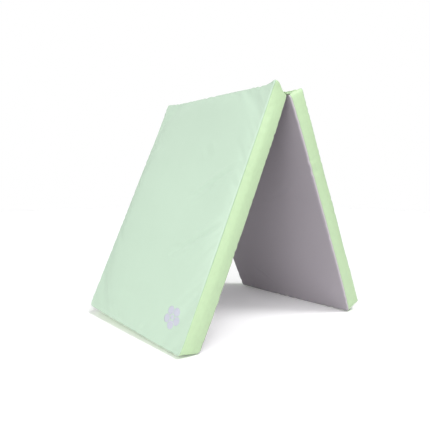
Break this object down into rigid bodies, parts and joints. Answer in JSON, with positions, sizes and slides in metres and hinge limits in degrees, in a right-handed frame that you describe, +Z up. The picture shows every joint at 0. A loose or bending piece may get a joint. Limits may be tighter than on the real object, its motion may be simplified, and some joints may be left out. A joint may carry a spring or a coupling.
{
  "type": "folding gym mat",
  "caption": "Two-panel folding gym mat stood up as a tent: foam cores in soft coated-fabric covers with contrasting edge bands, a fabric hinge and hidden zips.",
  "frame": {"origin": "on the floor, under the middle of the ridge, with the mat stood up as an A-frame", "axes": "+X from the left panel to the right one, +Y along the ridge away from the printed corner, +Z up"},
  "size_m": [0.985, 0.7, 0.9407],
  "materials": {
    "mint_vinyl": "soft matt coated fabric with a fine leather grain",
    "green_vinyl": "soft satin coated fabric with a fine leather grain",
    "lavender_base_fabric": "matt close-woven backing fabric",
    "foam": "open-cell foam block",
    "zip_tape": "woven herringbone tape",
    "zip_chain": "nylon coil teeth",
    "zip_metal": "satin die-cast zinc",
    "print_ink": "thin matt printed ink"
  },
  "bodies": {
    "left_panel": {"left_foam_core": "foam", "left_top_sheet": "mint_vinyl", "left_base_sheet": "lavender_base_fabric", "left_front_band": "green_vinyl", "left_back_band": "green_vinyl", "left_end_band": "green_vinyl", "left_hinge_band_upper": "green_vinyl", "left_hinge_band_lower": "green_vinyl", "left_zip_tape": "zip_tape", "left_zip_chain": "zip_chain", "hinge_strip": "green_vinyl", "print_mark": "print_ink"},
    "right_panel": {"right_foam_core": "foam", "right_top_sheet": "mint_vinyl", "right_base_sheet": "lavender_base_fabric", "right_front_band": "green_vinyl", "right_back_band": "green_vinyl", "right_end_band": "green_vinyl", "right_hinge_band_upper": "green_vinyl", "right_hinge_band_lower": "green_vinyl", "right_zip_tape": "zip_tape", "right_zip_chain": "zip_chain"},
    "left_zip_slider": {"left_zip_slider": "zip_metal"},
    "left_zip_pull": {"left_zip_pull": "zip_metal"},
    "right_zip_slider": {"right_zip_slider": "zip_metal"},
    "right_zip_pull": {"right_zip_pull": "zip_metal"}
  },
  "joints": [
    {"name": "fold", "type": "hinge", "parent": "left_panel", "child": "right_panel", "pos_m": [0, 0, 0.90975], "axis": [0, -1, 0], "range_deg": [-49, 131], "deforming": ["hinge_strip"]},
    {"name": "left_zip_slide", "type": "slide", "parent": "left_panel", "child": "left_zip_slider", "axis": [0, -1, 0], "range_m": [0, 0.6], "deforming": ["left_zip_chain"]},
    {"name": "left_zip_pull_turn", "type": "hinge", "parent": "left_zip_slider", "child": "left_zip_pull", "pos_m": [-0.04045, 0.305, 0.92467], "axis": [-0.91, 0, 0.4147], "range_deg": [0, 180]},
    {"name": "right_zip_slide", "type": "slide", "parent": "right_panel", "child": "right_zip_slider", "axis": [0, -1, 0], "range_m": [0, 0.6], "deforming": ["right_zip_chain"]},
    {"name": "right_zip_pull_turn", "type": "hinge", "parent": "right_zip_slider", "child": "right_zip_pull", "pos_m": [0.04045, 0.305, 0.92467], "axis": [-0.91, 0, -0.4147], "range_deg": [0, 180]}
  ]
}
